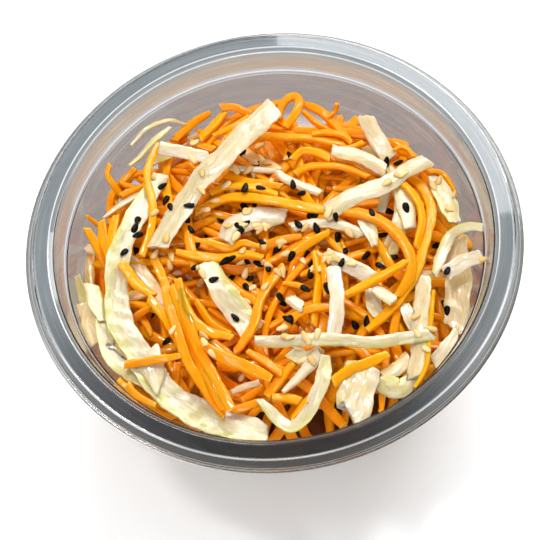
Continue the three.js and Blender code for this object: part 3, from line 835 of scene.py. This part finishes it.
blackPlaces = [
    (-40, 27), (-29.5, 26), (-29, 21), (-28, 18.5), (-22.5, 18), (-23.5, 13.5), (-23, 10), (-18.5, 7),
    (-22, 4.5), (-38, 16), (-39, 13.5), (-38.5, 11), (-43, 6), (-39.5, 5.5), (-5, 33), (-1, 28),
    (9, 29.5), (-5.5, 21), (-1, 20), (8.5, 19.5), (10.5, 16), (-6.5, 14.5), (-3.5, 15), (-13.5, 11.5),
    (-9, 8.5), (-7, 9), (-9, 6.5), (-3, 2), (1, -1), (4.5, -4), (-14.5, -2), (-12.5, -1.5), (-8, -4),
    (-5, -4.5), (-2.5, -6.5), (-23, -2.5), (-18.5, -7.5), (-13.5, -8), (-8.5, -9), (-9.5, -11.5),
    (-14, -20.5), (-37, -15), (-34, -24.5), (9, -4), (9.5, -7), (9, -10.5), (7, -15), (13, -16),
    (-0.5, -16.5), (0, -18.5), (1.5, -24), (0.5, -23.5), (13, 8), (19, 6.5), (12, 8.5), (8, 6), (13, 4),
    (18.5, -0.5), (20, -5), (18.5, -8.5), (25.5, -7.5), (33, -9.5), (29, -11.5), (31.5, -2), (29.5, 6),
    (34.5, 5.5), (39.5, 5.5), (36.5, 22), (40, 21), (46, -8), (47.5, -16.5), (45, -29), (44, -27),
    (19, -28.5), (22.5, -28),
]

creamPatches = [  # middle of the patch, its spread and how many seeds
    (-6, 28, 6, 13), (-1, 6, 6, 22), (-25, -3, 4, 9), (12, -8, 4, 10), (4, -29, 3, 8), (-22, -27, 2.5, 4),
    (36, 19, 3, 4), (50, 5, 3, 4), (57, -14, 2, 2), (36, -34, 3, 4), (0, 0, 18, 34),
]


def seedPoints():
    # length runs along x; the half width is a sine that is fuller at the blunt end
    u = np.linspace(0, np.pi, sesame["rings"] + 2)[1:-1]
    v = np.linspace(0, 2 * np.pi, sesame["sides"], endpoint=False)
    full = np.sin(u) ** 0.85 * (1 + sesame["blunt"] * np.cos(u))
    full = full / full.max()
    x = np.broadcast_to(-np.cos(u)[:, None] * sesame["length"] / 2, (len(u), len(v)))
    y = full[:, None] * np.cos(v) * sesame["width"] / 2
    z = full[:, None] * np.sin(v) * sesame["thickness"] / 2
    body = np.stack([x, y, z], axis=-1).reshape(-1, 3)
    tips = np.array([[-1, 0, 0], [1, 0, 0]]) * sesame["length"] / 2
    return np.vstack([body, tips])


heapTrees = [BVHTree.FromPolygons(made[0].tolist(), made[1]) for made in (*pileMeshes.values(), coreMesh)]


def hitFromEye(place):
    # nearest point of the heap on the line from the eye through a place on the layout's level
    target = Vector((place[0], place[1], heap["level"]))
    way = (target - Vector(eye)).normalized()
    hits = [tree.ray_cast(Vector(eye), way) for tree in heapTrees]
    hits = [hit for hit in hits if hit[0] is not None]
    return min(hits, key=lambda hit: hit[3], default=None)


def scatterSeeds(name, places, seed):
    # each seed lies flat on the shred under it, turned at random
    random = np.random.default_rng(seed)
    shape = seedPoints()
    shapeFaces = closedFaces(sesame["rings"], sesame["sides"])
    points, faces, tones = [], [], []
    for place in places:
        turn = random.uniform(0, fullTurn)
        size = random.uniform(*sesame["size"])
        lean = random.normal(0, sesame["lean"])
        tone = random.uniform()
        hit = hitFromEye(place)
        if hit is None:
            continue
        normal = (hit[1] + Vector((0, 0, sesame["upright"]))).normalized()
        spin = normal.to_track_quat("Z", "Y") @ Quaternion((0, 0, 1), turn) @ Quaternion((0, 1, 0), lean)
        turned = shape * size @ np.array(spin.to_matrix()).T
        placed = turned + np.array(hit[0] + normal * sesame["thickness"] * sesame["stand"])
        faces += [[corner + len(points) * len(shape) for corner in face] for face in shapeFaces]
        points.append(placed)
        tones.append(np.full(len(shape), tone))
    piece = newPiece(name, np.concatenate(points), faces, dict(tone=np.concatenate(tones)))
    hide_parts("slaw")
    print(name, len(points), "seeds")
    return piece


def creamPlaces():
    # bell-shaped patches
    random = np.random.default_rng(sesame["patchSeed"])
    spots = [random.normal((x, y), spread, (count, 2)) for x, y, spread, count in creamPatches]
    return np.concatenate(spots).tolist()


blackSeeds = scatterSeeds("black_sesame", blackPlaces, sesame["blackSeed"])
creamSeeds = scatterSeeds("cream_sesame", creamPlaces(), sesame["creamSeed"])


# Materials

class Wire:
    # an output that takes part in Python expressions: each operator adds a Math node
    def __init__(self, finish, socket):
        self.finish = finish
        self.socket = socket

    def maths(self, operation, *values):
        return self.finish.node("ShaderNodeMath", {"operation": operation}, dict(enumerate(values)))

    def __add__(self, other):
        return self.maths("ADD", self, other)

    def __sub__(self, other):
        return self.maths("SUBTRACT", self, other)

    def __rsub__(self, other):
        return self.maths("SUBTRACT", other, self)

    def __mul__(self, other):
        return self.maths("MULTIPLY", self, other)

    __radd__ = __add__
    __rmul__ = __mul__

    def between(self, low, high):
        # 0 up to low, 1 from high on, smooth between them
        settings = {"interpolation_type": "SMOOTHSTEP"}
        inputs = {"Value": self, "From Min": low, "From Max": high}
        return self.finish.node("ShaderNodeMapRange", settings, inputs)


class Finish:
    # one material: a Principled shader with fixed values, and the nodes that vary the rest
    def __init__(self, name, fixed):
        self.material = bpy.data.materials.new(name)
        self.material.use_nodes = True
        self.tree = self.material.node_tree
        self.shader = self.tree.nodes["Principled BSDF"]
        for label, value in fixed.items():
            self.feed(label, value)

    def put(self, socket, value):
        if isinstance(value, Wire):
            self.tree.links.new(value.socket, socket)
        else:
            socket.default_value = value

    def feed(self, label, value):
        self.put(self.shader.inputs[label], value)

    def node(self, kind, settings, inputs, output=0):
        made = self.tree.nodes.new(kind)
        for label, value in settings.items():
            setattr(made, label, value)
        for label, value in inputs.items():
            self.put(made.inputs[label], value)
        return Wire(self, made.outputs[output])

    def mixed(self, share, first, second):
        return self.node("ShaderNodeMix", {"data_type": "RGBA"}, {0: share, 6: first, 7: second}, output=2)

    def own(self, label, output="Fac"):
        return self.node("ShaderNodeAttribute", {"attribute_name": label}, {}, output=output)

    def place(self):
        return self.node("ShaderNodeTexCoord", {}, {}, output="Object")

    def vector(self, operation, first, *second, output=0):
        inputs = dict(enumerate((first, *second)))
        return self.node("ShaderNodeVectorMath", {"operation": operation}, inputs, output=output)

    def stretched(self, vector, scale):
        return self.vector("MULTIPLY", vector, scale)

    def dot(self, vector, way):
        return self.vector("DOT_PRODUCT", vector, way, output=1)

    def noise(self, vector, detail, scale=1.0):
        inputs = {"Vector": vector, "Scale": scale, "Detail": detail}
        return self.node("ShaderNodeTexNoise", {}, inputs)

    def waves(self, vector, stretch, detail):
        return self.noise(self.stretched(vector, stretch), detail)

    def bump(self, height, distance, strength):
        inputs = {"Height": height, "Distance": distance, "Strength": strength}
        self.feed("Normal", self.node("ShaderNodeBump", {}, inputs))


def colour(red, green, blue):
    return (red, green, blue, 1)


# each noise is named with its waves for a millimetre along, across and through a shred

carrotLook = dict(
    deep=colour(1.0, 0.29, 0.0),
    bright=colour(0.90, 0.375, 0.0),
    # paler fibres and cut ends; along the fibres partly a painted wet sheen
    pale=colour(0.95, 0.47, 0.06),
    fibres=(0.12, 2.4, 2.4),
    mottle=(0.35, 0.5, 0.5),
    wet=(0.7, 2.0, 2.0),
    cutEnd=0.9,  # the pale look of a cut reaches this far in
    bump=0.0003,
)


def carrotFinish():
    # deep to bright by the shred's tone and two noises, deeper by painted shade low in the heap;
    # paler along its fibres, partly a painted wet sheen, and at a cut end
    finish = Finish("carrot flesh", {
        "Subsurface Weight": 0.6,
        "Subsurface Radius": (1.0, 0.5, 0.1),
        "Subsurface Scale": 0.003,
        "Specular IOR Level": 0.06,
        "Coat Roughness": 0.08,
    })
    grain = finish.own("grain", "Vector")
    tone = finish.own("tone")
    fibres = finish.waves(grain, carrotLook["fibres"], 4)
    mottle = finish.waves(grain, carrotLook["mottle"], 2)
    wet = finish.waves(grain, carrotLook["wet"], 2)
    # painted shade: shreds low in the heap lean to the deep colour
    share = tone * 0.6 + mottle * 0.7 + fibres * 0.4 - 0.45 - finish.own("buried") * 0.25
    body = finish.mixed(share.between(0.05, 0.85), carrotLook["deep"], carrotLook["bright"])
    # pale along the fibres: partly the carrot's fibres, partly a painted wet sheen
    streaksAndSheen = fibres.between(0.55, 0.75) * 0.5
    cut = (1 - finish.own("tip").between(0.0, carrotLook["cutEnd"])) * 0.5
    finish.feed("Base Color", finish.mixed(streaksAndSheen + cut, body, carrotLook["pale"]))
    finish.feed("Roughness", mottle.between(0.35, 0.65) * 0.3 + 0.16)
    finish.feed("Coat Weight", wet.between(0.42, 0.58) * 0.8)
    finish.bump(fibres + mottle * 0.6, carrotLook["bump"], 0.6)
    return finish.material


cabbageLook = dict(
    bright=colour(0.63, 0.565, 0.445),
    sheer=colour(0.57, 0.505, 0.30),
    green=colour(0.545, 0.55, 0.17),
    vein=colour(0.75, 0.685, 0.54),
    # painted shade, warmed as by light off the carrots, for shreds low in the heap; the next colour for
    # greenish ones
    shade=colour(0.88, 0.50, 0.10),
    greenShade=colour(0.62, 0.43, 0.06),
    veins=(0.07, 0.6, 0.3),
    patch=(0.12, 0.25, 0.25),
    flecks=(0.25, 0.7, 0.6),
    cells=(1.2, 1.6, 1.6),
    bump=0.001,
)


def cabbageFinish():
    # bright to sheer by its tone and flecks, green towards one side, and mixed towards painted shade,
    # warmed as by light off the carrots, where it lies low in the heap and a little in random patches
    finish = Finish("cabbage leaf", {
        "Subsurface Weight": 1.0,
        "Subsurface Radius": (0.65, 0.75, 1.0),
        "Subsurface Scale": 0.0025,
        "Specular IOR Level": 0.6,
        "Coat Roughness": 0.1,
    })
    grain = finish.own("grain", "Vector")
    tone = finish.own("tone")
    buried = finish.own("buried")
    tint = finish.own("tint")
    veins = finish.waves(grain, cabbageLook["veins"], 1)
    patch = finish.waves(grain, cabbageLook["patch"], 2)
    flecks = finish.waves(grain, cabbageLook["flecks"], 1.5)
    cells = finish.waves(grain, cabbageLook["cells"], 1)
    sheer = (flecks + patch * 0.6 + tone * 0.5).between(0.85, 1.25)
    body = finish.mixed(sheer, cabbageLook["bright"], cabbageLook["sheer"])
    edge = finish.own("side").between(0.0, 1.1)
    green = (tint * (edge * 0.9 + 0.25) + patch * 0.5 - 0.25).between(0.0, 0.8)
    body = finish.mixed(green, body, cabbageLook["green"])
    # the veins fade under painted shade
    veined = (veins + cells * 0.3).between(0.6, 0.9) * (0.6 - buried * 0.3)
    body = finish.mixed(veined, body, cabbageLook["vein"])
    # the share of painted shade: mostly for shreds low in the heap, a little in random patches on all
    deep = buried * (patch + tone * 0.4) + (1 - buried) * patch * 0.2
    shade = finish.mixed(tint.between(0.3, 0.5), cabbageLook["shade"], cabbageLook["greenShade"])
    finish.feed("Base Color", finish.mixed(deep, body, shade))
    finish.feed("Roughness", patch * 0.3 + flecks * 0.2 + 0.08)
    finish.feed("Coat Weight", (flecks + cells).between(0.75, 1.05) * 0.8)
    finish.bump(patch * 0.6 + flecks * 0.6 + cells * 0.1, cabbageLook["bump"], 0.65)
    return finish.material


coreLook = dict(
    deep=colour(1.0, 0.27, 0.0),
    pale=colour(1.0, 0.55, 0.12),
    # painted shade of the deep gaps at the front
    dark=colour(0.10, 0.025, 0.0),
    shreds=(260, 120, 300),  # waves for a metre
    frontShade=(0.028, 0.044),  # in metres before the middle: where the painted shade begins and is full
    bump=0.002,
)


def coreFinish():
    # deep to pale by one noise, with painted shade towards the front for the deep gaps there
    finish = Finish("heap inside", {"Roughness": 0.5, "Specular IOR Level": 0.1})
    place = finish.place()
    shreds = finish.waves(place, coreLook["shreds"], 4)
    body = finish.mixed(shreds.between(0.42, 0.6), coreLook["deep"], coreLook["pale"])
    forward = finish.dot(place, (0, -1, 0))
    finish.feed("Base Color", finish.mixed(forward.between(*coreLook["frontShade"]), body, coreLook["dark"]))
    finish.bump(shreds, coreLook["bump"], 0.8)
    return finish.material


seedLooks = dict(
    black=dict(dark=colour(0.003, 0.002, 0.001), light=colour(0.009, 0.006, 0.004), gloss=0.2, shine=0.1),
    cream=dict(dark=colour(0.68, 0.44, 0.14), light=colour(0.86, 0.64, 0.30), gloss=0.3, shine=0.3),
)


def seedFinish(name):
    # dark to light by the seed's tone and a fine noise
    look = seedLooks[name]
    finish = Finish(name + " sesame", {"Specular IOR Level": look["shine"]})
    skin = finish.noise(finish.place(), detail=3, scale=900)
    share = (finish.own("tone") + skin - 0.5).between(0, 1)
    finish.feed("Base Color", finish.mixed(share, look["dark"], look["light"]))
    finish.feed("Roughness", skin * 0.2 + look["gloss"])
    finish.bump(skin, 0.0002, 0.4)
    return finish.material


bowlLook = dict(
    frontWay=(-5.1, -14.0, 0),  # the front's tints, painted shade and painted reflection, grow along this way
    frontFrom=0.4,
    frontFull=0.95,
    lines=1500,  # waves for a metre of the fine lines that run round
    drift=(35, 35, 0),
    line=colour(0.7, 0.7, 0.7),
    through=colour(0.9, 0.9, 0.9),
)


def bowlFinish():
    # lamps shine through the sheet, so the food inside is lit; everything else sees real refraction
    finish = Finish("clear sheet", {"Transmission Weight": 1.0, "IOR": 1.47, "Roughness": 0.03})
    place = finish.place()
    radius = finish.vector("LENGTH", finish.stretched(place, (1, 1, 0)), output=1)
    height = finish.node("ShaderNodeSeparateXYZ", {}, {0: place}, output=2)
    waves = bowlLook["lines"]
    rounds = finish.node("ShaderNodeCombineXYZ", {}, {0: radius * waves, 2: height * waves})
    lines = finish.noise(finish.vector("ADD", rounds, finish.stretched(place, bowlLook["drift"])), 2)
    # towards the front the sheet takes its front tints: painted shade on the band and skirt, a painted
    # reflection on the shoulder, riser and ledge
    front = finish.dot(place, bowlLook["frontWay"]).between(bowlLook["frontFrom"], bowlLook["frontFull"])
    tint = finish.mixed(front, finish.own("backTintAndPaintedLight", "Vector"), finish.own("frontTintAndPaintedLight", "Vector"))
    fine = lines.between(0.5, 0.75) * (0.25 - front * 0.2)
    finish.feed("Base Color", finish.mixed(fine, tint, bowlLook["line"]))
    through = finish.node("ShaderNodeBsdfTransparent", {}, {"Color": bowlLook["through"]})
    lamp = finish.node("ShaderNodeLightPath", {}, {}, output="Is Shadow Ray")
    sheet = Wire(finish, finish.shader.outputs[0])
    whole = finish.node("ShaderNodeMixShader", {}, {0: lamp, 1: sheet, 2: through})
    finish.put(finish.tree.nodes["Material Output"].inputs[0], whole)
    return finish.material


bowlShell.data.materials.append(bowlFinish())
carrotShreds.data.materials.append(carrotFinish())
cabbageShreds.data.materials.append(cabbageFinish())
slawCore.data.materials.append(coreFinish())
blackSeeds.data.materials.append(seedFinish("black"))
creamSeeds.data.materials.append(seedFinish("cream"))
print("materials done")

# Floor, lights and camera

floorSize = 3  # metres each way from the middle

light = dict(
    surround=[(0.0, 3.0), (0.1, 3.0), (0.18, 0.6), (0.45, 0.55), (0.9, 0.30)],  # sine of height, brightness
    lamps=dict(  # each faces down: middle, size and watts
        window=((0.568, 1.121, 1.06), (1.064, 1.158), 30),
        spot=((-0.3, 0.4, 1.3), (0.22, 0.16), 7),
        front=((-0.25, -0.85, 1.25), (0.8, 0.6), 8),
    ),
)

cameraView = dict(
    lens=117.6,
    sensor=36,
    lookAt=(-2.1, -7.2, 50),
    roll=-9.6,  # degrees
)


def makeFloor():
    corners = [(x * floorSize, y * floorSize, 0) for x, y in ((-1, -1), (1, -1), (1, 1), (-1, 1))]
    mesh = bpy.data.meshes.new("floor")
    mesh.from_pydata(corners, [], [(0, 1, 2, 3)])
    floor = bpy.data.objects.new("floor", mesh)
    bpy.context.scene.collection.objects.link(floor)
    finish = Finish("pale floor", {"Base Color": colour(0.93, 0.93, 0.93), "Roughness": 0.8})
    mesh.materials.append(finish.material)


def makeLights():
    # the surround is a bright band low down that grows dim overhead
    world = bpy.data.worlds.new("surround")
    world.use_nodes = True
    nodes, links = world.node_tree.nodes, world.node_tree.links
    way = nodes.new("ShaderNodeTexCoord")
    split = nodes.new("ShaderNodeSeparateXYZ")
    ramp = nodes.new("ShaderNodeValToRGB")
    stops = ramp.color_ramp.elements
    while len(stops) < len(light["surround"]):
        stops.new(1)
    for stop, (height, strength) in zip(stops, light["surround"]):
        stop.position = height
        stop.color = colour(strength, strength, strength)
    links.new(way.outputs["Generated"], split.inputs[0])
    links.new(split.outputs["Z"], ramp.inputs[0])
    links.new(ramp.outputs[0], nodes["Background"].inputs["Color"])
    bpy.context.scene.world = world
    for name, (middle, size, watts) in light["lamps"].items():
        lamp = bpy.data.lights.new(name, "AREA")
        lamp.shape = "RECTANGLE"
        lamp.size, lamp.size_y = size
        lamp.energy = watts
        holder = bpy.data.objects.new(name, lamp)
        holder.location = middle
        bpy.context.scene.collection.objects.link(holder)


def makeCamera():
    # looks from the eye at a point in the heap, rolled about that line
    view = bpy.data.cameras.new("camera")
    view.lens = cameraView["lens"]
    view.sensor_width = cameraView["sensor"]
    camera = bpy.data.objects.new("camera", view)
    bpy.context.scene.collection.objects.link(camera)
    way = Vector(cameraView["lookAt"]) - Vector(eye)
    roll = Quaternion((0, 0, 1), math.radians(cameraView["roll"]))
    camera.location = Vector(eye) * mm
    camera.rotation_mode = "QUATERNION"
    camera.rotation_quaternion = way.to_track_quat("-Z", "Y") @ roll
    bpy.context.scene.camera = camera


makeFloor()
makeLights()
makeCamera()
bpy.context.scene.view_settings.view_transform = "Standard"
